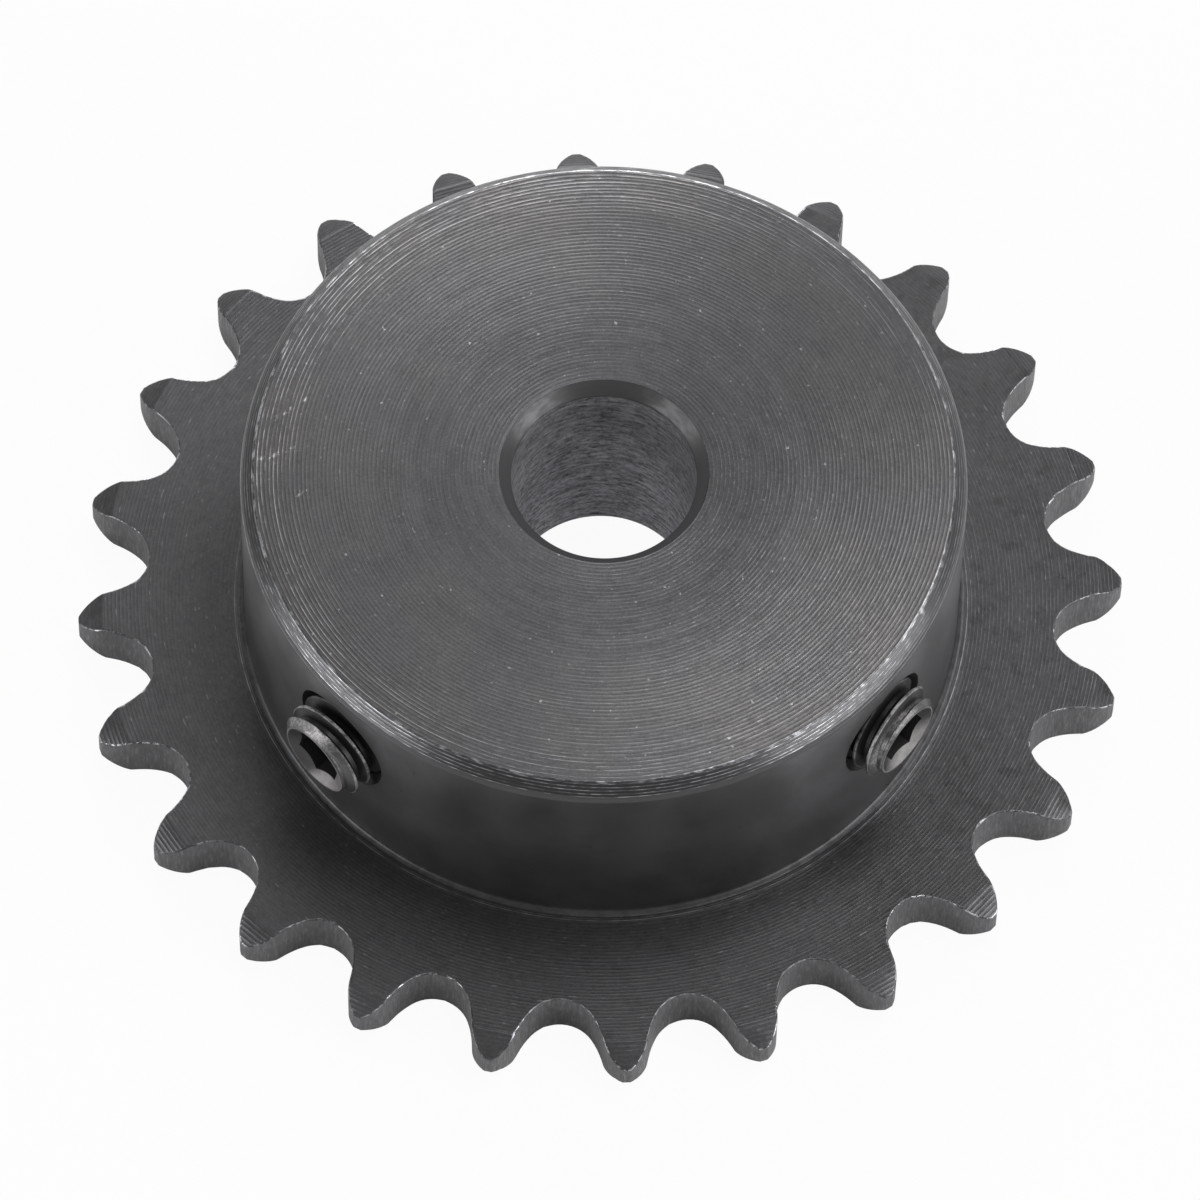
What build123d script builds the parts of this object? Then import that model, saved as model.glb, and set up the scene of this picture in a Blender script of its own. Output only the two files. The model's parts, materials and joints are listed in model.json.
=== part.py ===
# Chain sprocket for quarter-inch pitch roller chain: a toothed plate with a hub on one side, cut from one
# steel bar, and the two set screws that lock it to its shaft. Sizes are in millimetres. The origin is the
# centre of the bore on the flat back face, +Z runs along the bore towards the hub's end, and the first set
# screw points along -Y.
from build123d import *

import os
from math import cos, pi, radians, sin, sqrt, tan

# Chain and teeth
CHAIN_PITCH = 6.35
TEETH = 24
FORM_ROLLER = 3.02  # roller diameter that the flanks and tips are drawn for
SEAT_RADIUS = 1.83  # arc that a roller rests in, opened out from the roller for clearance
PLATE_THICKNESS = 2.8
TIP_TRIM = 0.12  # the blank is turned this much under the full tip radius, which leaves each tooth a land
TIP_CORNER_RADIUS = 0.12
TIP_BEVEL_RADIAL = 1.2
TIP_BEVEL_AXIAL = 0.72
GAP_OFFSET = -3.4  # degrees from the first set screw to the nearest gap between two teeth
CUTTER_OVERRUN = 1.0  # how far the gap's outline runs on beyond its tip curves

# Hub
HUB_DIAMETER = 35.3
OVERALL_LENGTH = 15.2
HUB_EDGE_CHAMFER = 0.65
HUB_ROOT_FILLET = 0.3

# Bore
BORE_DIAMETER = 9.0
BORE_MOUTH_CHAMFER = 0.6
BACK_COUNTERSINK = 2.6  # depth of the wide 45 degree countersink at the back of the bore

# Set screws and their tapped holes
THREAD_DIAMETER = 5.0
THREAD_CLEARANCE = 0.03  # radial, between a screw and the wall of its hole
SCREW_FROM_END = 4.9  # from the hub's end face to both screw axes
SCREW_SPREAD = 97.0  # degrees from the first screw to the second, about the bore
HOLE_COUNTERSINK = 0.3  # width of the 45 degree countersink at a hole's mouth, where it is narrowest
SCREW_LENGTH = 10.0
SCREW_END_CHAMFER = 0.52
SOCKET_ACROSS_FLATS = 2.5
SOCKET_DEPTH = 3.0
SOCKET_MOUTH_RADIUS = 1.85
SOCKET_MOUTH_ANGLE = 30.0  # slope of the mouth's cone, from the end face
CUP_RADIUS = 1.25
CUP_ANGLE = 30.0  # slope of the cup's cone, from the end face
FIRST_PROUD = 1.6  # how far each screw's end stands out of the hub
SECOND_PROUD = 1.35
FIRST_TURN = 24.0  # degrees that each screw is turned about its own axis
SECOND_TURN = -7.0

# Sizes that follow from those above
pitch_radius = CHAIN_PITCH / 2 / sin(pi / TEETH)
tip_radius = CHAIN_PITCH / 2 * (0.6 + 1 / tan(pi / TEETH)) - TIP_TRIM
bevel_radius = tip_radius - TIP_BEVEL_RADIAL
hub_radius = HUB_DIAMETER / 2
bore_radius = BORE_DIAMETER / 2
hole_radius = THREAD_DIAMETER / 2
screw_radius = hole_radius - THREAD_CLEARANCE
socket_radius = SOCKET_ACROSS_FLATS / 2
first_angle = -90.0
second_angle = first_angle + SCREW_SPREAD


def screw_plane(angle, distance, turn=0.0):
    """Plane across a set screw's axis, this far from the bore's axis, facing out and turned about itself."""
    outwards = Vector(1, 0, 0).rotate(Axis.Z, angle)
    sideways = Vector(0, 1, 0).rotate(Axis.Z, angle)
    centre = outwards * distance + Vector(0, 0, OVERALL_LENGTH - SCREW_FROM_END)
    return Plane(centre, x_dir=sideways.rotate(Axis((0, 0, 0), outwards), turn), z_dir=outwards)


# Gap between two teeth, drawn about +X in the standard roller chain form. From the middle of the seat each
# side runs through its seating curve, working curve, short flat and topping curve, each tangent to the next.
seating_sweep = 55 - 60 / TEETH
working_sweep = 18 - 56 / TEETH
topping_lean = 17 - 64 / TEETH
working_radius = SEAT_RADIUS + 0.8 * FORM_ROLLER
flat_length = FORM_ROLLER * (1.4 * sin(radians(topping_lean)) - 0.8 * sin(radians(working_sweep)))
centres_apart = FORM_ROLLER * (1.4 * cos(radians(topping_lean)) + 0.8 * cos(radians(working_sweep)))
topping_radius = centres_apart - working_radius

with BuildSketch() as tooth_gap:
    with BuildLine():
        seating = JernArc((pitch_radius - SEAT_RADIUS, 0), (0, 1), SEAT_RADIUS, -seating_sweep)
        working = JernArc(seating @ 1, seating % 1, working_radius, -working_sweep)
        flat = Line(working @ 1, working @ 1 + (working % 1) * flat_length)
        topping = JernArc(flat @ 1, flat % 1, topping_radius, seating_sweep + working_sweep)
        overrun = Line(topping @ 1, topping @ 1 + Vector(CUTTER_OVERRUN, 0))
        Line(overrun @ 1, Vector((overrun @ 1).X, 0))
        mirror(about=Plane.XZ)
    make_face()

# Outline of the toothed plate: the round blank less its gaps, with the sharp corners of each land taken off
with BuildSketch() as toothed_outline:
    Circle(tip_radius)
    with PolarLocations(0, TEETH, start_angle=first_angle + GAP_OFFSET):
        add(tooth_gap.sketch, mode=Mode.SUBTRACT)
    land_corners = [v for v in toothed_outline.vertices() if abs(v.center().length - tip_radius) < 0.001]
    fillet(land_corners, TIP_CORNER_RADIUS)

# Body: plate and hub in one piece. Both faces of the plate are turned down to a cone across the teeth, the
# bore runs right through, and two tapped holes run from the hub's wall into the bore.
bevel_slope = TIP_BEVEL_AXIAL / TIP_BEVEL_RADIAL
cutter_reach = TIP_BEVEL_RADIAL + CUTTER_OVERRUN

with BuildPart() as sprocket_body:
    add(toothed_outline.sketch)
    extrude(amount=PLATE_THICKNESS)

    with BuildSketch(Plane.XZ):
        with BuildLine():
            Polyline(
                (bevel_radius, 0),
                (bevel_radius + cutter_reach, cutter_reach * bevel_slope),
                (bevel_radius + cutter_reach, 0),
                close=True,
            )
        make_face()
        mirror(about=Plane.XZ.offset(-PLATE_THICKNESS / 2))
    revolve(axis=Axis.Z, mode=Mode.SUBTRACT)

    with BuildSketch(Plane.XY.offset(PLATE_THICKNESS)):
        Circle(hub_radius)
    extrude(amount=OVERALL_LENGTH - PLATE_THICKNESS)
    hub_wall = faces().filter_by(GeomType.CYLINDER).sort_by(Axis.Z)[-1]
    fillet(hub_wall.edges().sort_by(Axis.Z)[0], HUB_ROOT_FILLET)
    chamfer(edges().sort_by(Axis.Z)[-1], HUB_EDGE_CHAMFER)

    with Locations(Plane.XY.offset(OVERALL_LENGTH)):
        CounterSinkHole(bore_radius, bore_radius + BORE_MOUTH_CHAMFER, counter_sink_angle=90)
    with Locations(-Plane.XY):
        CounterSinkHole(bore_radius, bore_radius + BACK_COUNTERSINK, counter_sink_angle=90)

    # A hole's countersink is narrowest at its sides, where the hub's wall curves away from it.
    mouth_radius = hole_radius + HOLE_COUNTERSINK
    wall_drop = hub_radius - sqrt(hub_radius**2 - mouth_radius**2)
    with Locations(*(screw_plane(angle, hub_radius) for angle in (first_angle, second_angle))):
        CounterSinkHole(hole_radius, mouth_radius + wall_drop, hub_radius, 90)

sprocket_body.part.label = "sprocket_body"

# Set screw, along Z with its socket end at Z = 0: both ends are chamfered, one round a hexagon socket with a
# coned mouth and the other round a cup point that bites the shaft. Its thread is a plain cylinder.
mouth_depth = (SOCKET_MOUTH_RADIUS - socket_radius) * tan(radians(SOCKET_MOUTH_ANGLE))
cup_depth = CUP_RADIUS * tan(radians(CUP_ANGLE))

with BuildPart() as set_screw:
    with BuildSketch(Plane.XZ):
        with BuildLine():
            Polyline(
                (0, -mouth_depth),
                (socket_radius, -mouth_depth),
                (SOCKET_MOUTH_RADIUS, 0),
                (screw_radius - SCREW_END_CHAMFER, 0),
                (screw_radius, -SCREW_END_CHAMFER),
                (screw_radius, screw_radius - CUP_RADIUS - SCREW_LENGTH),
                (CUP_RADIUS, -SCREW_LENGTH),
                (0, cup_depth - SCREW_LENGTH),
                close=True,
            )
        make_face()
    revolve(axis=Axis.Z)
    with BuildSketch(Plane.XY.offset(-SOCKET_DEPTH)):
        RegularPolygon(socket_radius, 6, major_radius=False)
    extrude(amount=SOCKET_DEPTH, mode=Mode.SUBTRACT)

# Both set screws, alike apart from how far each has been screwed in
first_place = screw_plane(first_angle, hub_radius + FIRST_PROUD, FIRST_TURN)
second_place = screw_plane(second_angle, hub_radius + SECOND_PROUD, SECOND_TURN)

with BuildPart() as set_screws:
    with Locations(first_place, second_place):
        add(set_screw.part)

set_screws.part.label = "set_screws"

os.makedirs("parts", exist_ok=True)
for finished in (sprocket_body, set_screws):
    export_step(finished.part, f"parts/{finished.part.label}.step")
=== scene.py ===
import json
from math import cos, pi, radians, sin, sqrt, tan

import bpy
import bmesh
import numpy as np
from mathutils import Matrix, Vector

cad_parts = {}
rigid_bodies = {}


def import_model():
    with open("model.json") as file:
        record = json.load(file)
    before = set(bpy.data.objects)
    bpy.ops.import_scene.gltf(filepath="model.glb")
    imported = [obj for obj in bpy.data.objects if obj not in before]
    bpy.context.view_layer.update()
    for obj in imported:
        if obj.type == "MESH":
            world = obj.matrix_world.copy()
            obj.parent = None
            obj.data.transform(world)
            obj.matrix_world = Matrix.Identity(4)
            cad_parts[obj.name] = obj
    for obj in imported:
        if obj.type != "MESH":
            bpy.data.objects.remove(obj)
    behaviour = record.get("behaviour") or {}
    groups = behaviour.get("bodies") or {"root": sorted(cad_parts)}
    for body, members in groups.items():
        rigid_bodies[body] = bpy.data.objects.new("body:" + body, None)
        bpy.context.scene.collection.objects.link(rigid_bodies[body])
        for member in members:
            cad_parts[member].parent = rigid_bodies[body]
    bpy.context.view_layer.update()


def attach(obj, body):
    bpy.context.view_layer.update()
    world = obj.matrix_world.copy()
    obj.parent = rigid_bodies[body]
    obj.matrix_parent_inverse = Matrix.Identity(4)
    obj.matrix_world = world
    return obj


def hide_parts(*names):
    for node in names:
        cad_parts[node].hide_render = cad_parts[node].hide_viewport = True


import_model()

MM = 0.001  # sizes are written in millimetres and meshes are in metres

# ---------------------------------------------------------------------------------------------------------
# Sprocket body: one piece of carbon steel, turned from bar with its hub, faced and bored on the lathe, then
# hobbed with 24 teeth for quarter-inch chain, drilled and tapped for two set screws, tumbled and blackened.
# ---------------------------------------------------------------------------------------------------------
TEETH = 24
CHAIN_PITCH = 6.35
PITCH_RADIUS = CHAIN_PITCH / 2 / sin(pi / TEETH)
TIP_RADIUS = CHAIN_PITCH / 2 * (0.6 + 1 / tan(pi / TEETH)) - 0.12
SEAT_RADIUS = 1.83
FORM_ROLLER = 3.02  # roller size that the tooth form is drawn for
TIP_CORNER = 0.12
FIRST_GAP = radians(-93.4)
PLATE = 2.8
BEVEL_RADIUS = TIP_RADIUS - 1.2
BEVEL_SLOPE = 0.6
HUB_RADIUS = 17.65
HUB_TOP = 15.2
HUB_CHAMFER = 0.65
HUB_FILLET = 0.3
BORE_RADIUS = 4.5
BORE_CHAMFER = 0.6
BACK_CONE = 2.6
THREAD_PITCH = 0.8
SCREW_HEIGHT = HUB_TOP - 4.9
SCREW_ANGLES = radians(-90), radians(7)
THREAD_STARTS = -0.004, 0.144  # turns, so that each thread runs on the same helix as its screw
TAP_CREST, TAP_ROOT = 2.505, 2.08  # radii of the tap, which leaves its own shape in the hole
TAP_OUTER, TAP_INNER = 19.5, 3.05  # how far from the hub's axis the cut starts and ends
MOUTH_RADIUS = 2.8
SMALL_BREAK = 0.05  # reach of the rounding on the fine turned edges
SKINS = ["turned_skin", "wall_skin", "rim_skin", "bore_skin", "flank_skin", "burr_skin", "thread_skin"]


def arc(centre, radius, start, end, count, bulge):
    """Points and outward normals on a circle: centre plus radius times e to the i angle, for count angles
    from start up to just before end. bulge is 1 where the metal bulges out and -1 where it is hollowed."""
    spoke = np.exp(1j * np.linspace(start, end, count, endpoint=False))
    return centre + radius * spoke, bulge * spoke


def tooth_outline():
    """The toothed plate's outline as complex points x + iy with outward normals, all round from one gap's
    middle. Half a gap is five tangent arcs and a flat; its mirror image and turned copies make the rest."""
    seating = radians(55 - 60 / TEETH)
    working = radians(18 - 56 / TEETH)
    lean = radians(17 - 64 / TEETH)
    reach = 0.8 * FORM_ROLLER
    working_radius = SEAT_RADIUS + reach
    working_centre = PITCH_RADIUS + reach * np.exp(-1j * seating)
    topping_radius = FORM_ROLLER * (1.4 * cos(lean) + 0.8 * cos(working)) - working_radius
    turn = pi - seating - working
    flat_start = working_centre + working_radius * np.exp(1j * turn)
    flat_length = FORM_ROLLER * (1.4 * sin(lean) - 0.8 * sin(working))
    flat_end = flat_start - 1j * flat_length * np.exp(1j * turn)
    topping_centre = flat_end + topping_radius * np.exp(1j * turn)
    # The corner's centre lies inside both the topping curve and the tip circle by the corner's radius.
    apart = abs(topping_centre)
    tip_side = TIP_RADIUS - TIP_CORNER
    along = (tip_side**2 - (topping_radius - TIP_CORNER) ** 2 + apart**2) / (2 * apart)
    corner_centre = topping_centre / apart * (along - 1j * sqrt(tip_side**2 - along**2))
    meets = np.angle(corner_centre - topping_centre)
    runs = [
        arc(PITCH_RADIUS, SEAT_RADIUS, pi, pi - seating, 7, -1),
        arc(working_centre, working_radius, pi - seating, turn, 4, -1),
        (np.array([flat_start]), np.array([-np.exp(1j * turn)])),
        arc(topping_centre, topping_radius, turn - pi, meets, 7, 1),
        arc(corner_centre, TIP_CORNER, meets, np.angle(corner_centre), 3, 1),
        arc(0, TIP_RADIUS, np.angle(corner_centre), pi / TEETH, 2, 1),
    ]
    points, normals = (np.concatenate(part) for part in zip(*runs))
    tooth_point, tooth_normal = TIP_RADIUS * np.exp(1j * pi / TEETH), np.exp(1j * pi / TEETH)
    rising = np.append(points, tooth_point), np.append(normals, tooth_normal)
    gap = [np.concatenate([half.conj()[:0:-1], half[:-1]]) for half in rising]
    turns = np.exp(1j * (FIRST_GAP + 2 * pi * np.arange(TEETH) / TEETH))[:, None]
    return (turns * gap[0]).ravel(), (turns * gap[1]).ravel()


def plate_top(radius):
    """Height of the plate's hub side: level, then falling at the bevel's slope outside its radius."""
    return PLATE - BEVEL_SLOPE * np.maximum(radius - BEVEL_RADIUS, 0)


def rounded(corner, before, after, reach, steps=3):
    """A turned edge of the section: a curve from reach before the corner to reach after it, blended through
    the corner by the quadratic t squared formula. Corners are (radius, height)."""
    corner, before, after = np.array([corner, before, after], float)
    start = corner + (before - corner) * reach / np.linalg.norm(before - corner)
    end = corner + (after - corner) * reach / np.linalg.norm(after - corner)
    t = np.linspace(0, 1, steps + 1)[:, None]
    return (1 - t) ** 2 * start + 2 * t * (1 - t) * corner + t**2 * end


def body_surface():
    """The body as a grid of points, one column for each outline point and one row for each station round
    its section: up the flank, in over the plate, up the hub, down the bore and back out underneath. With
    it goes the skin of the faces between each row and the next."""
    edge, normal = tooth_outline()
    count = len(edge)
    angle = np.unwrap(np.angle(edge))
    even = angle[0] + 2 * pi * np.arange(count) / count
    chips = np.random.default_rng(3).random(count)
    edge_break = 0.04 + 0.03 * np.convolve(np.r_[chips, chips[:4]], np.ones(5) / 5, "valid")
    edge_break = edge_break + 0.05 * (chips > 0.93) * (np.abs(edge) < TIP_RADIUS - 0.3)

    def beside(inset, radius_cap, height):
        """A row along the outline, set in from it, and pulled in to a radius where it stands out further."""
        points = edge - inset * normal
        points = points * np.minimum(1, radius_cap / np.abs(points))
        return np.stack([points.real, points.imag, height(np.abs(points))], axis=1)

    def turned(radius, height, evenness=1.0):
        """A row round the lathe's axis, whose points shift from the teeth's angles to even ones."""
        circle = radius * np.exp(1j * (angle + evenness * (even - angle)))
        return np.stack([circle.real, circle.imag, np.full(count, height)], axis=1)

    def edge_rows(corner, before, after, reach=SMALL_BREAK, steps=3):
        return [turned(r, z) for r, z in rounded(corner, before, after, reach, steps)]

    def under(row):
        """A row of the hub side mirrored to the back face."""
        return row * (1, 1, -1) + (0, 0, PLATE)

    flank = [beside(0, TIP_RADIUS, lambda r, s=s: PLATE / 2 + s * (plate_top(r) - edge_break - PLATE / 2))
             for s in (0.0, 0.9)]
    over_edge = [beside(edge_break * (1 - cos(b)), TIP_RADIUS,
                        lambda r, b=b: plate_top(r) - edge_break * (1 - sin(b)))
                 for b in np.linspace(0, pi / 2, 4)]
    crease = beside(edge_break + 0.03, BEVEL_RADIUS, plate_top)
    fold = [beside(edge_break + inset, BEVEL_RADIUS + past, plate_top)
            for inset, past in ((0.03, 0.015), (0.035, -0.015), (0.04, -0.06))]
    root = HUB_RADIUS + HUB_FILLET
    hollow = []
    for b in np.linspace(pi / 2, 0, 10):
        reach = HUB_FILLET - 0.016 * (1 - abs(sin(3 * b)))  # shallow steps left by the turning tool
        hollow.append((root - reach * cos(b), PLATE + HUB_FILLET - reach * sin(b)))
    shoulder = HUB_TOP - HUB_CHAMFER
    rim = HUB_RADIUS - HUB_CHAMFER
    mouth = BORE_RADIUS + BORE_CHAMFER
    lip = HUB_TOP - BORE_CHAMFER
    cone = BORE_RADIUS + BACK_CONE
    outer_edge = edge_rows((HUB_RADIUS, shoulder), (HUB_RADIUS, 0), (rim, HUB_TOP), 0.3, 5)
    inner_edge = edge_rows((rim, HUB_TOP), (HUB_RADIUS, shoulder), (0, HUB_TOP))
    mouth_edge = edge_rows((mouth, HUB_TOP), (rim, HUB_TOP), (BORE_RADIUS, lip))
    lip_edge = edge_rows((BORE_RADIUS, lip), (mouth, HUB_TOP), (BORE_RADIUS, 0), 0.06)
    throat = edge_rows((BORE_RADIUS, BACK_CONE), (BORE_RADIUS, 9), (cone, 0))
    cone_edge = edge_rows((cone, 0), (BORE_RADIUS, BACK_CONE), (20, 0))
    underneath = [under(row) for row in over_edge[::-1]]
    runs = [
        ("flank_skin", flank),
        ("burr_skin", over_edge[:-1]),
        ("turned_skin", [over_edge[-1], *fold, turned(21.8, PLATE, 0.0), turned(19.8, PLATE, 0.5),
                         turned(18.7, PLATE), turned(18.14, PLATE), turned(18.09, PLATE + 0.006),
                         turned(18.04, PLATE)]),
        ("wall_skin", [turned(r, z) for r, z in hollow] + [turned(HUB_RADIUS, z) for z in (5, 8, 11, 13)]),
        ("rim_skin", outer_edge + inner_edge[:-1]),
        ("turned_skin", [inner_edge[-1], turned(14, HUB_TOP), turned(9, HUB_TOP)] + mouth_edge[:-1]),
        ("bore_skin", [mouth_edge[-1]] + lip_edge + [turned(BORE_RADIUS, z) for z in (12.9, 10.3, 7.7, 5)]
         + throat + cone_edge[:-1]),
        ("turned_skin", [cone_edge[-1], turned(12, 0), turned(19.8, 0, 0.5), turned(21.8, 0, 0.0),
                         under(crease)]),
        ("burr_skin", underneath[:-1]),
        ("flank_skin", [underneath[-1]] + [under(row) for row in flank[:0:-1]]),
    ]
    rows = np.array([row for _, run in runs for row in run])
    skin = np.array([SKINS.index(name) for name, run in runs for _ in run])
    return rows, skin


def sheet_mesh(name, points, skin, ring=True):
    """A mesh from a grid of points in millimetres. Each point's face runs to the next row and column, and
    on a ring the last row and column run on to the first. Points that coincide become one, which closes
    poles and seams."""
    rows, columns = points.shape[:2]
    index = np.arange(rows * columns).reshape(rows, columns)
    ahead = np.roll(index, -1, axis=1)
    above, beyond = np.roll(index, -1, axis=0), np.roll(ahead, -1, axis=0)
    faces = np.stack([index, ahead, beyond, above], axis=2)
    if not ring:
        faces, skin = faces[:-1, :-1], skin[:-1]
    mesh = bpy.data.meshes.new(name)
    mesh.from_pydata(points.reshape(-1, 3) * MM, [], faces.reshape(-1, 4))
    mesh.polygons.foreach_set("material_index", np.repeat(skin, faces.shape[1]).astype(np.int32))
    shell = bmesh.new()
    shell.from_mesh(mesh)
    bmesh.ops.remove_doubles(shell, verts=shell.verts, dist=0.0015 * MM)
    shell.to_mesh(mesh)
    shell.free()
    mesh.shade_smooth()
    piece = bpy.data.objects.new(name, mesh)
    bpy.context.scene.collection.objects.link(piece)
    return piece


def thread_radius(phase, crest, root):
    """Radius of a 60 degree thread at a phase in turns, with its crest at whole turns: a triangle wave, cut
    off to a flat an eighth of the pitch wide at the crest and a quarter at the root."""
    wave = np.abs((phase % 1) * 2 - 1)
    return root + (crest - root) * np.clip((wave - 0.25) / 0.625, 0, 1)


def thread_rows(length, around, per_turn, radius_at):
    """A threaded rod's skin as a grid. Its rows climb with the thread, one pitch in each turn, and are cut
    off square at both ends; depth runs in from the outer end and radius_at(depth, phase) gives the rod."""
    turn = np.linspace(0, 1, around + 1)
    step = np.arange(-per_turn, int(length / THREAD_PITCH * per_turn) + 2 * per_turn + 1)[:, None]
    depth = np.clip((step / per_turn - turn) * THREAD_PITCH, 0, length)
    return depth, radius_at(depth, depth / THREAD_PITCH + turn), np.broadcast_to(2 * pi * turn, depth.shape)


def set_in_hub(depth, radius, spin, angle, outer):
    """Points of a round piece lying along a set screw's axis: depth in from the outer end, radius and spin
    about the axis, measured from the sideways direction towards the hub's end face."""
    out = np.array([cos(angle), sin(angle), 0])
    side = np.array([-sin(angle), cos(angle), 0])
    centre = (outer - depth)[..., None] * out + np.array([0, 0, SCREW_HEIGHT])
    return centre + (radius * np.cos(spin))[..., None] * side + (radius * np.sin(spin))[..., None] * [0, 0, 1]


def closed_strip(name, depth, radius, spin, angle, outer, skin):
    """A closed mesh from an open grid whose last column lies on its first: capped by poles at both ends."""
    caps = [np.zeros_like(radius[:1]), radius, np.zeros_like(radius[:1])]
    depths = [depth[:1], depth, depth[-1:]]
    spins = [spin[:1], spin, spin[-1:]]
    points = set_in_hub(np.concatenate(depths), np.concatenate(caps), np.concatenate(spins), angle, outer)
    return sheet_mesh(name, points[:, ::-1], skin, ring=False)


rows, skin = body_surface()
body = sheet_mesh("toothed_body", rows, skin)

mouth_drop = HUB_RADIUS - sqrt(HUB_RADIUS**2 - MOUTH_RADIUS**2)
for number, (angle, start) in enumerate(zip(SCREW_ANGLES, THREAD_STARTS)):
    def tapped(depth, phase):
        """The thread cut by the tap, opened by the countersink that starts where its mouth meets the wall."""
        cone = MOUTH_RADIUS + mouth_drop + (TAP_OUTER - HUB_RADIUS - depth)
        return np.maximum(thread_radius(phase + start, TAP_CREST, TAP_ROOT), np.minimum(cone, 4))

    depth, radius, spin = thread_rows(TAP_OUTER - TAP_INNER, 64, 8, tapped)
    skin = np.full(len(depth) + 2, SKINS.index("thread_skin"))
    tap = closed_strip(f"tap_{number}", depth, radius, spin, angle, TAP_OUTER, skin)
    cut = body.modifiers.new(f"tapped_{number}", "BOOLEAN")
    cut.operation, cut.solver, cut.object = "DIFFERENCE", "EXACT", tap
    cut.material_mode = "INDEX"
    tap.hide_render = True

cut_steel = bpy.data.meshes.new_from_object(body.evaluated_get(bpy.context.evaluated_depsgraph_get()))
body.modifiers.clear()
body.data = cut_steel
for number in range(2):
    bpy.data.objects.remove(bpy.data.objects[f"tap_{number}"])
body.data.set_sharp_from_angle(angle=radians(25))
even_shade = body.modifiers.new("even_shade", "WEIGHTED_NORMAL")
even_shade.keep_sharp = True
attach(body, "root")
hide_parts("sprocket_body")


class Wire:
    """A shader socket that can be worked with in expressions: each operator adds the Math node for it."""

    def __init__(self, tree, socket=None):
        self.tree, self.socket = tree, socket

    def add(self, kind, settings=None, values=None, output=0):
        """A new node of this kind. Its settings come first, then its sockets' numbers or links."""
        node = self.tree.nodes.new(kind)
        for name, setting in (settings or {}).items():
            setattr(node, name, setting)
        for name, value in (values or {}).items():
            if isinstance(value, Wire):
                self.tree.links.new(value.socket, node.inputs[name])
            else:
                node.inputs[name].default_value = value
        return Wire(self.tree, node.outputs[output])

    def math(self, operation, *terms):
        return self.add("ShaderNodeMath", {"operation": operation}, dict(enumerate(terms)))

    def __add__(self, other):
        return self.math("ADD", self, other)

    def __sub__(self, other):
        return self.math("SUBTRACT", self, other)

    def __rsub__(self, other):
        return self.math("SUBTRACT", other, self)

    def __mul__(self, other):
        return self.math("MULTIPLY", self, other)

    def __truediv__(self, other):
        return self.math("DIVIDE", self, other)

    def __pow__(self, other):
        return self.math("POWER", self, other)

    __radd__, __rmul__ = __add__, __mul__

    def above(self, low, high):
        """0 below low, 1 above high and a smooth step between."""
        return self.add("ShaderNodeMapRange", {"interpolation_type": "SMOOTHSTEP"},
                        {"Value": self, "From Min": low, "From Max": high})

    def near(self, place, width):
        """1 at a place, fading smoothly to 0 at this width on both sides."""
        return 1 - self.math("ABSOLUTE", self - place).above(0, width)


def millimetres(tree):
    """The surface's place on the object in millimetres, as a vector and as x, y, z."""
    wire = Wire(tree)
    place = wire.add("ShaderNodeVectorMath", {"operation": "SCALE"},
                     {"Vector": wire.add("ShaderNodeTexCoord", output="Object"), "Scale": 1000})
    return place, *(wire.add("ShaderNodeSeparateXYZ", None, {"Vector": place}, output=i) for i in range(3))


def noise(place, scale, detail=2.0, roughness=0.5):
    """Cloudy noise from 0 to 1 with this many features in each unit of place."""
    return place.add("ShaderNodeTexNoise", None,
                     {"Vector": place, "Scale": scale, "Detail": detail, "Roughness": roughness})


def vector(x, y, z):
    return x.add("ShaderNodeCombineXYZ", None, {0: x, 1: y, 2: z})


def steel(name):
    """A new material and the first wire of its nodes."""
    material = bpy.data.materials.new(name)
    material.use_nodes = True
    return material, Wire(material.node_tree)


def blacken(material, grey, roughness, height=None, warmth=0.0, metal=0.65):
    """Wires up black oxide on steel: a grey level from 0 to 1, cool or, by its warmth, a little brown, over
    a half metallic body, with its roughness, and its height in millimetres as a bump."""
    tree = material.node_tree
    shader = tree.nodes["Principled BSDF"]
    shader.inputs["Metallic"].default_value = metal
    wire = Wire(tree)
    tint = wire.add("ShaderNodeMix", {"data_type": "RGBA"},
                    {0: warmth, 6: (1.0, 1.0, 1.045, 1), 7: (1.045, 1.0, 1.0, 1)}, 2)
    colour = wire.add("ShaderNodeVectorMath", {"operation": "SCALE"}, {"Vector": tint, "Scale": grey})
    tree.links.new(colour.socket, shader.inputs["Base Color"])
    if isinstance(roughness, Wire):
        tree.links.new(roughness.socket, shader.inputs["Roughness"])
    else:
        shader.inputs["Roughness"].default_value = roughness
    if height is not None:
        bump = wire.add("ShaderNodeBump", None, {"Height": height, "Distance": MM})
        tree.links.new(bump.socket, shader.inputs["Normal"])


def lathe_fields(tree):
    """Radius and height in millimetres, the direction round the axis as a unit x and y, and the place."""
    place, x, y, z = millimetres(tree)
    radius = (x * x + y * y) ** 0.5
    return place, x, y, z, radius, x / radius, y / radius


def stretched(across, ring_x, ring_y, per_mm, per_radian, detail=2.0):
    """Noise drawn out round the axis, with per_mm features across the tool marks and per_radian along."""
    return noise(vector(ring_x * per_radian, ring_y * per_radian, across * per_mm), 1.0, detail)


def towards(ring_x, ring_y, degrees):
    """How far a place lies in this direction from +X round the axis: 1 in it, 0 at a right angle to it."""
    return cos(radians(degrees)) * ring_x + sin(radians(degrees)) * ring_y


def scratch(x, y, start, end, width):
    """1 along a straight scratch between two points (x, y) and 0 beside it and past its ends."""
    run, rise = end[0] - start[0], end[1] - start[1]
    length = sqrt(run * run + rise * rise)
    along = ((x - start[0]) * run + (y - start[1]) * rise) / length
    beside = ((y - start[1]) * run - (x - start[0]) * rise) / length
    return beside.near(0, width) * along.above(-0.2, 0.2) * (1 - along.above(length - 0.3, length + 0.1))


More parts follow.
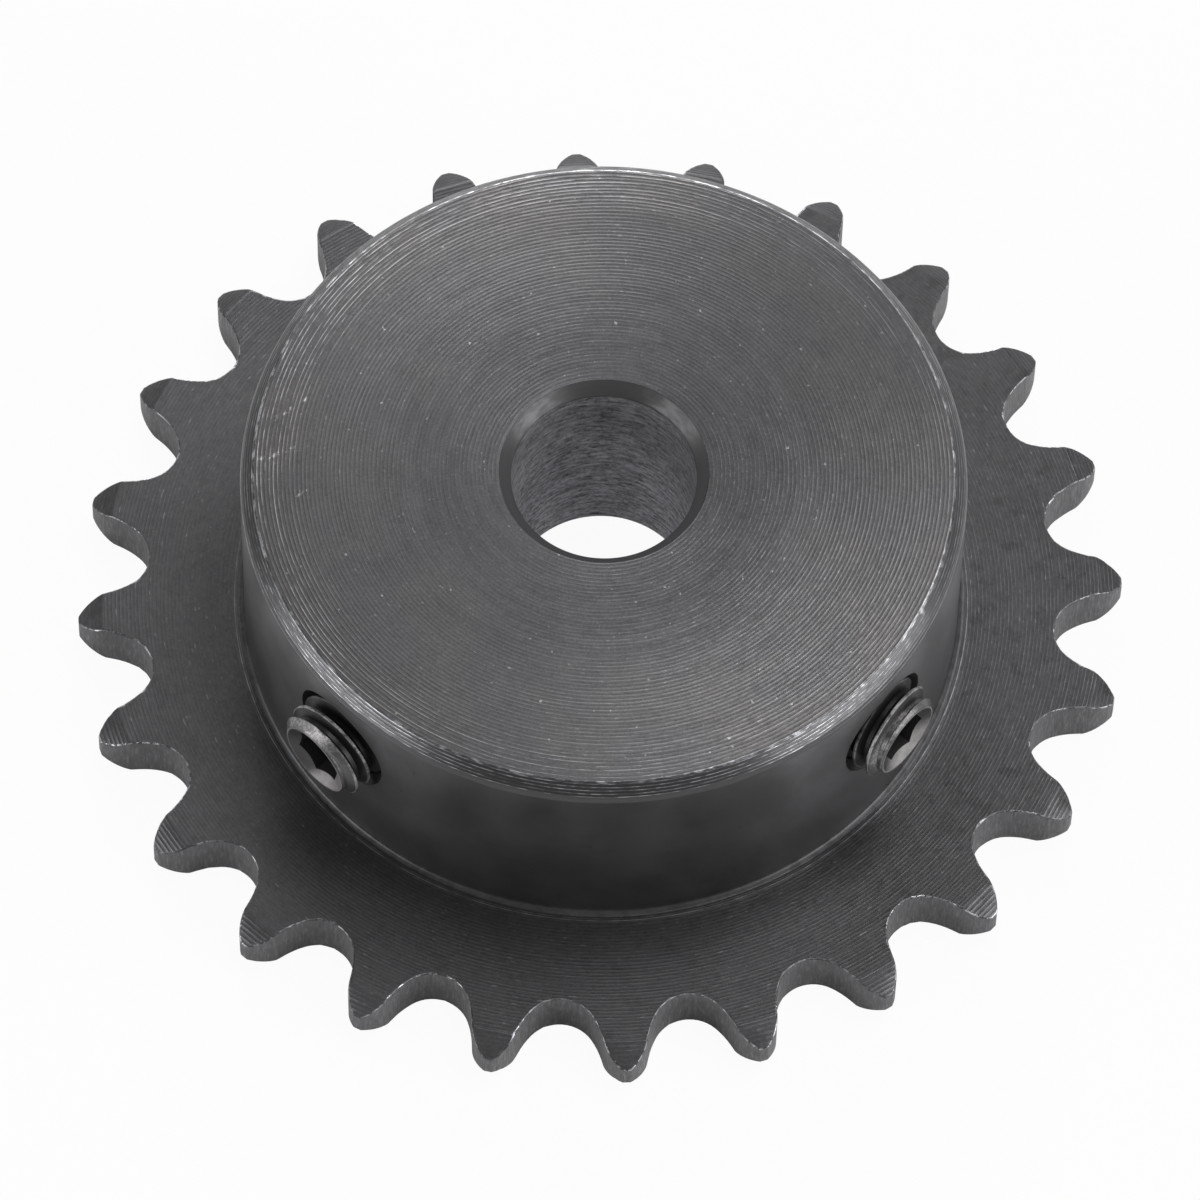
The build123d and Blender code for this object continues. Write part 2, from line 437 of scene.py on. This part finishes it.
# Faces turned square to the axis: one spiral tool mark from rim to bore with a sharp crest between turns,
# finer drag lines in it, crests rubbed bright towards the rim, cloudy oxide and a few dotted scratches.
# Painted light over it: crest lines lit on the right, a lit fan on the end face, a lit bevel, painted shade
# on the plate's right side and painted highlights on the tool lines at the hub's root
OXIDE_GREY = 0.094
END_FEED, PLATE_FEED = 0.2, 0.186
ROOT_LINE = 18.13  # radius of the tool lines where the tool turned up into the hub, painted bright as highlights
SMUDGE_RADIUS = 8.1
SCORES = (((-13.1, -9.9), (-12.8, -7.6), 0.16), ((-12.0, -12.0), (-11.0, -9.7), 0.22),
          ((-9.2, -11.9), (-9.0, -11.0), 0.12))

turned_skin, wire = steel("turned_face")
place, x, y, z, radius, ring_x, ring_y = lathe_fields(wire.tree)
on_end = z.above(HUB_TOP - 0.1, HUB_TOP - 0.05)
on_bevel = radius.above(BEVEL_RADIUS - 0.1, BEVEL_RADIUS + 0.1)
uneven = stretched(radius, ring_x, ring_y, 4.5, 3, 3)
broken = stretched(radius, ring_x, ring_y, 5, 26, 2)
drag = stretched(radius, ring_x, ring_y, 13, 7, 2)
band = stretched(radius, ring_x, ring_y, 0.9, 1.5, 2)
weave = stretched(radius, ring_x, ring_y, 6, 60, 1)
drift = stretched(radius, ring_x, ring_y, 1.2, 2, 1)
cloud = noise(place, 0.22, 3)
grime = noise(place, 1.1, 4, 0.6)
grain = noise(place, 7.0, 2, 0.7)
sand = noise(place, 13.0, 1, 0.6)
right_side = 0.5 + 0.5 * towards(ring_x, ring_y, 30)
line_highlight_side = right_side.above(0.75, 1)
front_side = towards(ring_x, ring_y, -60).above(0.3, 1)
quiet_side = towards(ring_x, ring_y, -120).above(0.2, 1)

feed = PLATE_FEED + (END_FEED - PLATE_FEED) * on_end
turns = radius / feed + wire.math("ARCTAN2", y, x) / (2 * pi) + 0.5 * drift
across = wire.math("FRACT", turns) * 2 - 1
scallop = across * across
deep = 0.44 - 0.25 * right_side + on_end * (0.48 * radius.above(7, 13) + 0.18)
deep = deep + on_bevel * (0.5 - 0.4 * towards(ring_x, ring_y, 180).above(0.6, 0.95))
deep = deep * (0.7 + 0.6 * band) * (1 - 0.22 * front_side - 0.35 * quiet_side * on_end)
rim_zone = on_end * radius.above(14.2, 17)
height = scallop * (0.002 + 0.013 * uneven + 0.007 * broken) * deep + drag * (0.002 + 0.004 * on_end)
height = height + broken * 0.004 + weave * 0.0022 + scallop * rim_zone * broken.above(0.35, 0.7) * 0.006

oxide = 0.12 + 0.30 * cloud + 0.26 * grime + 0.16 * drag + 0.46 * grain + 0.38 * weave
oxide = oxide + (0.30 + 0.35 * on_end) * (sand - 0.08)
ridge = scallop.above(0.35, 1) * (0.25 + 1.1 * broken.above(0.35, 0.65))
# painted highlight: the crest lines' colour contrast is raised on the right side, where the lamps pick them out
oxide = oxide + (0.12 + 0.7 * line_highlight_side) * (ridge - 0.27) * (0.3 + uneven) * (0.5 + band)
torn_arcs = stretched(radius, ring_x, ring_y, 2.4, 2.5, 4).above(0.5, 0.55) * (1 - radius.above(10, 12.5))
smudge = wire.math("ABSOLUTE", towards(ring_x, ring_y, 45) * radius - 1.83).above(0.75, 0.85)
smudge = (1 - smudge) * radius.near(SMUDGE_RADIUS, 0.6).above(0.2, 0.4) * y.above(4, 5)
oxide = oxide * (1 - 0.08 * on_end * (1 - radius.above(7, 10)))
# painted highlight: the end face lighter towards +X beyond 7.5 mm, where the lamps' fan of light falls
oxide = oxide * (1 + 0.09 * on_end * ring_x.above(0.55, 1) * radius.above(7.5, 10))
oxide = oxide * (1 + 0.12 * smudge + on_end * (0.05 - 0.1 * torn_arcs))
# painted shade: the plate painted darker on its right side, in patches
patchy_shade = noise(place, 1.2, 4, 0.65).above(0.52, 0.68)
oxide = oxide * (1 - (0.22 * patchy_shade + 0.1) * right_side * (1 - on_end))
# the bevel lighter all round, and more on its right side as a painted highlight of the right lamp
oxide = oxide * (1 + (0.3 + 0.3 * right_side) * on_bevel)

worn_side = 0.62 - 0.38 * ring_x
rubbed = scallop.above(0.35, 1) * rim_zone * worn_side * (0.65 * uneven + 0.35 * broken).above(0.42, 0.64)
ticks = scallop * stretched(radius, ring_x, ring_y, 5, 42, 1).above(0.66, 0.78)
scores = sum(scratch(x, y, start, end, width) for start, end, width in SCORES)
scores = scores * noise(place, 4.5, 1).above(0.5, 0.62) * on_end * (0.25 + scallop.above(0.2, 0.8))
specks = noise(place, 3.2, 1, 0.4).above(0.76, 0.82) * on_end
# painted highlight: the fine tool lines at the hub's root painted bright, brightest towards the front
root_highlights = (1 - on_end) * z.above(1, 2) * radius.near(ROOT_LINE, 0.16)
root_highlights = root_highlights * (wire.math("FRACT", radius / 0.11) * 2 - 1) ** 2
root_highlights = root_highlights * (0.5 + towards(ring_x, ring_y, -45).above(-0.1, 0.5))
root_highlights = root_highlights * (0.5 + broken.above(0.35, 0.6))
# bright marks: rubbed crests, ticks, scratches and specks, with the painted root highlights
bright = 0.2 * root_highlights * (0.3 + uneven) + 0.55 * rubbed + 0.12 * ticks + 0.45 * scores + 0.25 * specks
bright = bright.math("MINIMUM", bright, 0.6)
browned = 0.8 * cloud.above(0.45, 0.62) * radius.above(8, 13) * on_end
blacken(turned_skin, OXIDE_GREY * oxide + bright, 0.29 + 0.08 * grime + 0.06 * grain - 0.06 * bright, height,
        warmth=browned)

# The hub's wall: a fine, smooth turned surface with hardly a line in it, painted lighter away from its front
# and more so higher up, with painted shade at the front's top and near the plate and a painted highlight along
# its foot
WALL_GREY = 0.066

wall_skin, wire = steel("hub_wall")
place, _, _, z, _, ring_x, ring_y = lathe_fields(wire.tree)
lines = stretched(z, ring_x, ring_y, 9, 4, 3)
cloud = noise(place, 0.25, 3).above(0.36, 0.64)
grime = noise(place, 2.0, 4, 0.6)
marks = noise(place, 1.6, 1).above(0.76, 0.82)
# painted light and shade: away from the front the wall is painted lighter, more so higher up and less near the
# plate; at the front its top is painted darker
sides = 1 - towards(ring_x, ring_y, -45).above(0.80, 0.97)
root = 1 - z.above(PLATE + 0.2, PLATE + 0.4)
painted_light_shade = 1 + sides * (0.55 + 0.75 * z.above(3, 14) - 0.7 * root) - (1 - sides) * 0.25 * z.above(9, 13)
# painted highlight: a bright band along the wall's foot, a little brighter away from the front
foot_highlight = root * (0.35 + noise(place, 1.6, 4, 0.6).above(0.36, 0.6)) * (0.2 + 0.1 * sides)
oxide = (0.74 + 0.3 * cloud + 0.2 * grime + 0.08 * lines) * (1 - 0.3 * marks) * painted_light_shade
blacken(wall_skin, WALL_GREY * oxide + 0.12 * foot_highlight, 0.36 + 0.06 * grime, lines * 0.0012 + grime * 0.001,
        metal=0.6)

# The hub's rim: a turned bevel, its tool lines knocked and rubbed bright along both edges, with painted glints
# and painted light and shade that make its lines, edges and tone lighter or darker from side to side
RIM_GREY = 0.108
RIM_FEED = 0.118
KNOCKS = ((-14.4, 8.8, 0.45), (-12.9, 11.0, 0.4), (-11.2, 12.7, 0.2), (14.76, 8.22, 0.3), (16.0, 5.77, 0.25))

rim_skin, wire = steel("hub_rim")
place, x, y, z, _, ring_x, ring_y = lathe_fields(wire.tree)
across = wire.math("FRACT", z / RIM_FEED + wire.math("ARCTAN2", y, x) / (2 * pi)) * 2 - 1
scallop = across * across
uneven = stretched(z, ring_x, ring_y, 9, 4, 3)
broken = stretched(z, ring_x, ring_y, 9, 24, 2)
grime = noise(place, 2.0, 4, 0.6)
inner_edge = z.near(HUB_TOP - 0.02, 0.08)
outer_edge = z.near(HUB_TOP - HUB_CHAMFER - 0.1, 0.06)
on_slope = z.above(HUB_TOP - HUB_CHAMFER - 0.02, HUB_TOP - HUB_CHAMFER + 0.12)
knocked = stretched(z, ring_x, ring_y, 2, 16, 3).above(0.42, 0.58)
dashes = stretched(z, ring_x, ring_y, 14, 40, 2).above(0.42, 0.6)
back_side = towards(ring_x, ring_y, 150).above(0.55, 1)
left_side = towards(ring_x, ring_y, -150).above(0.3, 0.95) * (1 - back_side)
right_side = towards(ring_x, ring_y, 30).above(0.75, 0.97)
front_side = towards(ring_x, ring_y, -45).above(0.8, 0.96)
# painted glints: the rim lighter in two narrow directions round the axis
glints = towards(ring_x, ring_y, -90).above(0.92, 1) + 0.5 * ring_x.above(0.9, 1)
lines = scallop.above(0.3, 0.95) * on_slope
# painted light and shade: the tool lines stronger in the glints and at the back, weaker at the front, left and
# right
lines = lines * (1.25 + 0.8 * glints - 0.4 * front_side - 0.9 * left_side - 0.9 * right_side + 0.35 * back_side)
rubbed = lines * (0.5 * uneven + 0.5 * broken).above(0.40, 0.62) * (0.26 + 0.55 * dashes)
# rubbed inner edge, a little brighter on the left and back as painted light
rubbed = rubbed + (inner_edge * (0.25 + 0.75 * knocked) * (0.15 + 0.85 * dashes)
                   * (0.5 + 0.18 * (left_side + back_side)))
# painted highlight: the outer edge bright on the left and right sides only
rubbed = rubbed + outer_edge * (0.4 + dashes) * (left_side + right_side) * 0.22
for knock_x, knock_y, size in KNOCKS:
    away = ((x - knock_x) ** 2 + (y - knock_y) ** 2) ** 0.5
    rubbed = rubbed + 0.5 * away.near(0, size) * broken.above(0.3, 0.6)
# painted light and shade: tone lighter in the glints and at the back, darker at the front and on the left of
# the slope
oxide = 1 + 0.2 * glints - 0.22 * front_side - 0.25 * left_side * on_slope + 0.25 * back_side
oxide = oxide * (0.80 + 0.2 * grime + 0.15 * broken + 0.3 * lines)
blacken(rim_skin, RIM_GREY * oxide + rubbed, 0.3 - 0.06 * rubbed,
        on_slope * (scallop * (0.005 + 0.009 * uneven) + broken * 0.004))

# Bore: drilled and reamed, with rings and small pits left by the reamer, darker towards the top, lighter on
# both sides low down as painted light, and a smooth bevelled mouth with painted highlights
BORE_GREY = 0.57
MOUTH_GREY = 0.068

bore_skin, wire = steel("bore_wall")
place, _, _, z, _, ring_x, ring_y = lathe_fields(wire.tree)
lines = stretched(z, ring_x, ring_y, 7, 1.5, 4)
pits = stretched(z, ring_x, ring_y, 6, 9, 2).above(0.6, 0.68)
rings = stretched(z, ring_x, ring_y, 5, 5, 4).above(0.35, 0.65)
flecks = noise(place, 4.0, 4, 0.7).above(0.35, 0.65)
grime = noise(place, 1.5, 4, 0.6)
on_mouth = z.above(HUB_TOP - BORE_CHAMFER - 0.08, HUB_TOP - BORE_CHAMFER - 0.02)
# painted light: the lower bore painted lighter on its left and right sides
both_sides = wire.math("ABSOLUTE", towards(ring_x, ring_y, 45)).above(0.15, 0.8)
inside = (1 - on_mouth) * (0.92 - 0.5 * z.above(HUB_TOP - 6, HUB_TOP - 1.5))
inside = inside * (1 + 0.45 * both_sides * (1 - z.above(5, 11)))
reamed_and_lit = inside * (0.05 + 0.3 * grime + 0.4 * lines + 0.75 * rings + 0.65 * flecks) * (1 - 0.6 * pits)
# painted highlights on the mouth's bevel in two directions round the axis
glow = towards(ring_x, ring_y, 180).above(0.9, 1) + ring_y.above(0.9, 1)
bevelled = on_mouth * (MOUTH_GREY + 0.02 * lines + 0.08 * glow * rings)
torn = (1 - on_mouth) * (lines * 0.008 - pits * 0.012 + rings * 0.006 + flecks * 0.004)
blacken(bore_skin, BORE_GREY * reamed_and_lit + bevelled, 0.33 + 0.1 * grime, torn, metal=0.2)

# Flanks of the teeth: hobbed, with steep torn marks that run straight through the plate's thickness
FLANK_GREY = 0.15

flank_skin, wire = steel("tooth_flank")
place, x, y, z = millimetres(wire.tree)
cuts = noise(vector(x, y, z * 0.03), 2.6, 2)
torn = noise(vector(x, y, z * 0.16), 8.0, 4, 0.65).above(0.2, 0.8)
grime = noise(place, 1.2, 4, 0.6)
streaks = torn.above(0.6, 0.95)
blacken(flank_skin, FLANK_GREY * (0.42 + 0.5 * grime + 0.62 * torn) + 0.05 * streaks, 0.42 + 0.08 * grime,
        cuts * 0.02 + torn * 0.012, metal=0.2)

# Edges of the teeth: burrs knocked bright in places
BURR_GREY = 0.09

burr_skin, wire = steel("tooth_edge")
place = millimetres(wire.tree)[0]
stretch = noise(place, 0.45, 2).above(0.45, 0.6)
nick = noise(place, 2.8, 4, 0.7).above(0.47, 0.55) * (0.25 + 0.75 * stretch)
blacken(burr_skin, BURR_GREY + 0.5 * nick, 0.33 - 0.08 * nick, noise(place, 6.0, 2) * 0.02)

# Threads cut by the tap: dark oily steel, painted darker still as the shade inside the holes
TAPPED_GREY = 0.035

thread_skin, wire = steel("tapped_thread")
blacken(thread_skin, TAPPED_GREY * (0.7 + 0.5 * noise(millimetres(wire.tree)[0], 3.0, 3)), 0.4)

for skin_material in (turned_skin, wall_skin, rim_skin, bore_skin, flank_skin, burr_skin, thread_skin):
    body.data.materials.append(skin_material)

# ---------------------------------------------------------------------------------------------------------
# Set screws: two M5 hexagon socket set screws, 10 mm long with cup points, in hardened steel. Each is
# screwed in from the hub's side and stands a little proud of it.
# ---------------------------------------------------------------------------------------------------------
SCREW_LENGTH = 10
CREST, ROOT = 2.47, 2.03  # radii of the thread
END_CHAMFER = 0.52
SOCKET_FLAT = 1.25  # from the axis to a flat of the socket
SOCKET_DEPTH = 3.0
SOCKET_MOUTH = 1.85
CUP_RADIUS = 1.25
MOUTH_SLOPE = tan(radians(30))
OUTER_ENDS = HUB_RADIUS + 1.6, HUB_RADIUS + 1.35
SOCKET_TURNS = radians(24), radians(-7)
SCREW_STARTS = 0.375, 0.75  # turns of the thread, measured from each socket's first corner
LIT_MOUTHS = (1.2, -2.1, -1.0), (0.15, -1.5, -0.3)  # how far the lit part of each mouth leans, and its bounds
SCREW_SKINS = ["socket", "mouth", "thread"]


def set_screw(name, angle, outer, socket_turn, start):
    """A set screw as a closed strip: its rows run from the socket's floor up the six walls and the mouth's
    cone, over the end, and down the thread, which both end cones cut off, to the cup."""

    def rod(depth, phase):
        """Radius of the screw: its thread, cut off by a 45 degree cone at each end."""
        return np.minimum(thread_radius(phase + start, CREST, ROOT),
                          np.minimum(CREST - END_CHAMFER + depth, CUP_RADIUS + SCREW_LENGTH - depth))

    depth, radius, spin = thread_rows(SCREW_LENGTH, 144, 16, rod)
    wall = SOCKET_FLAT / np.cos(spin[0] % (pi / 3) - pi / 6)
    lip = (SOCKET_MOUTH - wall) * MOUTH_SLOPE
    head_depth = [np.full_like(wall, SOCKET_DEPTH + 0.3), np.full_like(wall, SOCKET_DEPTH),
                  (SOCKET_DEPTH + lip) / 2, lip, lip / 2]
    head_radius = [0 * wall + 0.02, wall, wall, wall, (wall + SOCKET_MOUTH) / 2]
    cup_depth = [np.full_like(wall, SCREW_LENGTH - CUP_RADIUS * MOUTH_SLOPE)]
    cup_radius = [0 * wall + 0.02]
    depth = np.concatenate([head_depth, [0 * wall], depth, cup_depth])
    radius = np.concatenate([head_radius, [0 * wall + SOCKET_MOUTH], radius, cup_radius])
    spin = np.broadcast_to(spin[0], depth.shape) + socket_turn
    skin = np.full(len(depth) + 2, SCREW_SKINS.index("thread"))
    skin[:4] = SCREW_SKINS.index("socket")
    skin[4:6] = SCREW_SKINS.index("mouth")
    return closed_strip(name, depth, radius, spin, angle, outer, skin)


def screw_fields(tree, number):
    """A place on a screw in millimetres: the place itself, its depth in from the outer end, its distance
    from the screw's axis, and how far it lies to the side of the axis and above it."""
    place, x, y, z = millimetres(tree)
    angle = SCREW_ANGLES[number]
    depth = OUTER_ENDS[number] - (x * cos(angle) + y * sin(angle))
    side, up = y * cos(angle) - x * sin(angle), z - SCREW_HEIGHT
    radius = (side * side + up * up) ** 0.5
    return place, depth, radius, side, up


def screw_steel(number):
    """The three skins of a screw: its socket's walls, the mouth's cone and the rest, whose thread is black
    in its grooves and rubbed bright along its crests."""
    socket_skin, wire = steel(f"screw_socket_{number + 1}")
    blacken(socket_skin, 0.065 + 0.03 * noise(millimetres(wire.tree)[0], 3.0, 3), 0.4, warmth=1.0)

    mouth_skin, wire = steel(f"screw_mouth_{number + 1}")
    place, _, _, side, up = screw_fields(wire.tree, number)
    lean, low, high = LIT_MOUTHS[number]
    lit = 1 - (up - lean * side).above(low, high)
    smear = noise(place, 2.2, 4, 0.6)
    blacken(mouth_skin, 0.045 + 0.04 * smear + lit * (0.1 + 0.28 * smear), 0.38,
            noise(place, 6.0, 2) * 0.01, warmth=1.0)

    thread_skin, wire = steel(f"screw_thread_{number + 1}")
    place, depth, radius, side, up = screw_fields(wire.tree, number)
    smear = noise(place, 2.2, 4, 0.6)
    grain = noise(place, 9.0, 2, 0.7)
    worn = smear.above(0.40, 0.56)
    nicks = grain.above(0.56, 0.68)
    crest = radius.above(CREST - 0.09, CREST - 0.02) * (1 - 0.8 * depth.above(1.1, 1.7))
    lip = radius.near(SOCKET_MOUTH + 0.05, 0.09) * (1 - depth.above(0.01, 0.05))
    ground = (1 - depth.above(0.42, 0.56)) * radius.above(1.96, 2.0)
    sheen = (up - side * 0.9).above(-1.2, 2.4) * (0.3 + 0.7 * worn) * grain.above(0.3, 0.6)
    grey = (0.032 + 0.03 * smear + crest * (0.10 + 0.25 * worn + 0.2 * nicks) + lip * (0.15 + 0.3 * smear)
            + ground * (0.06 + 0.22 * sheen))
    blacken(thread_skin, grey, 0.36, grain * 0.008, warmth=0.8)
    return socket_skin, mouth_skin, thread_skin


for number in range(2):
    screw = set_screw(f"set_screw_{number + 1}", SCREW_ANGLES[number], OUTER_ENDS[number],
                      SOCKET_TURNS[number], SCREW_STARTS[number])
    screw.data.set_sharp_from_angle(angle=radians(28))
    for skin_material in screw_steel(number):
        screw.data.materials.append(skin_material)
    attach(screw, "root")
    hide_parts("set_screws")

# ---------------------------------------------------------------------------------------------------------
# Studio: a pale paper floor that runs on into white walls, four soft boxes, two of them behind and above
# for the fans of light on the turned end, and the camera.
# ---------------------------------------------------------------------------------------------------------
CAMERA_AZIMUTH = radians(45.1)
ELEVATION = 1.0732
DISTANCE = 486.36 * MM
AIM_RIGHT, AIM_UP, ROLL = -0.0001, 0.0021, 0.0240
FOCAL_PIXELS, IMAGE_WIDTH = 9770.3, 1200
SENSOR_WIDTH = 36

across = Vector((cos(CAMERA_AZIMUTH), sin(CAMERA_AZIMUTH), 0))
inwards = Vector((-sin(CAMERA_AZIMUTH), cos(CAMERA_AZIMUTH), 0))
overhead = Vector((0, 0, 1))
ahead = inwards * cos(ELEVATION) - overhead * sin(ELEVATION)
up = across.cross(ahead)
aim = (ahead + AIM_RIGHT * across + AIM_UP * up).normalized()
right = aim.cross(up).normalized()
up = right.cross(aim)
right, up = cos(ROLL) * right + sin(ROLL) * up, cos(ROLL) * up - sin(ROLL) * right
camera = bpy.data.objects.new("camera", bpy.data.cameras.new("camera"))
bpy.context.scene.collection.objects.link(camera)
camera.matrix_world = Matrix.Translation(-ahead * DISTANCE) @ Matrix((right, up, -aim)).transposed().to_4x4()
camera.data.sensor_width = SENSOR_WIDTH
camera.data.lens = FOCAL_PIXELS / IMAGE_WIDTH * SENSOR_WIDTH
camera.data.clip_end = 10
bpy.context.scene.camera = camera

FLOOR_REACH = 2
FLOOR_HEIGHT = -0.03 * MM  # just clear of the plate's underside
floor_mesh = bpy.data.meshes.new("floor")
corners = [(x * FLOOR_REACH, y * FLOOR_REACH, FLOOR_HEIGHT) for x, y in ((-1, -1), (1, -1), (1, 1), (-1, 1))]
floor_mesh.from_pydata(corners, [], [(0, 1, 2, 3)])
floor = bpy.data.objects.new("floor", floor_mesh)
bpy.context.scene.collection.objects.link(floor)
paper, wire = steel("white_paper")
shader = paper.node_tree.nodes["Principled BSDF"]
shader.inputs["Base Color"].default_value = (0.9, 0.9, 0.9, 1)
shader.inputs["Roughness"].default_value = 1
shader.inputs["Specular IOR Level"].default_value = 0


def backdrop_share(wire, to_camera, in_reflections):
    """How much of plain white is laid over a backdrop's own light, for each kind of ray that meets it."""
    seen, mirrored, through = (wire.add("ShaderNodeLightPath", output=f"Is {kind} Ray")
                               for kind in ("Camera", "Glossy", "Transmission"))
    return seen * to_camera + mirrored * in_reflections + through * in_reflections


white = wire.add("ShaderNodeEmission", None, {"Color": (1, 1, 1, 1), "Strength": 1.0})
lifted = wire.add("ShaderNodeMixShader", None,
                  {0: backdrop_share(wire, 0.95, 0.12), 1: Wire(wire.tree, shader.outputs[0]), 2: white})
wire.tree.links.new(lifted.socket, wire.tree.nodes["Material Output"].inputs["Surface"])
floor_mesh.materials.append(paper)

world = bpy.data.worlds.new("studio_walls")
world.use_nodes = True
wire = Wire(world.node_tree)
walls = wire.add("ShaderNodeBackground", None, {"Color": (1, 1, 1, 1), "Strength": 0.15})
white = wire.add("ShaderNodeBackground", None, {"Color": (1, 1, 1, 1), "Strength": 1.0})
lifted = wire.add("ShaderNodeMixShader", None, {0: backdrop_share(wire, 1.0, 0.03), 1: walls, 2: white})
world.node_tree.links.new(lifted.socket, world.node_tree.nodes["World Output"].inputs["Surface"])
bpy.context.scene.world = world


def soft_box(name, place, facing, top, size, level):
    """A rectangular soft box at a place given as metres to the right, back and up from the camera's side.
    Its light leaves against facing, its second side runs towards top, and at level 1 it is white."""
    place, facing, top = (across * v[0] + inwards * v[1] + overhead * v[2] for v in (place, facing, top))
    light = bpy.data.lights.new(name, "AREA")
    light.shape = "RECTANGLE"
    light.size, light.size_y = size
    light.energy = level * pi * size[0] * size[1]
    lamp = bpy.data.objects.new(name, light)
    lamp.visible_camera = False
    bpy.context.scene.collection.objects.link(lamp)
    facing = facing.normalized()
    side = top.cross(facing).normalized()
    lamp.matrix_world = (Matrix.Translation(place)
                         @ Matrix((side, facing.cross(side), facing)).transposed().to_4x4())


soft_box("back_box", (-0.08, 0.83, 0.56), (-0.08, 0.83, 0.56), (-1.11, 0.33, -0.64), (0.56, 0.36), 4.8)
soft_box("top_box", (0.38, 0.29, 1.0), (0, 0, 1), (-0.73, 0.68, 0), (0.80, 0.46), 3.5)
soft_box("right_box", (0.87, -0.35, 0.34), (0.87, -0.35, 0.34), (0, 0, 1), (0.85, 0.66), 2.9)
soft_box("left_box", (-0.90, -0.33, 0.26), (-0.90, -0.33, 0.26), (0, 0, 1), (0.80, 0.52), 2.7)

bpy.context.scene.view_settings.view_transform = "Standard"
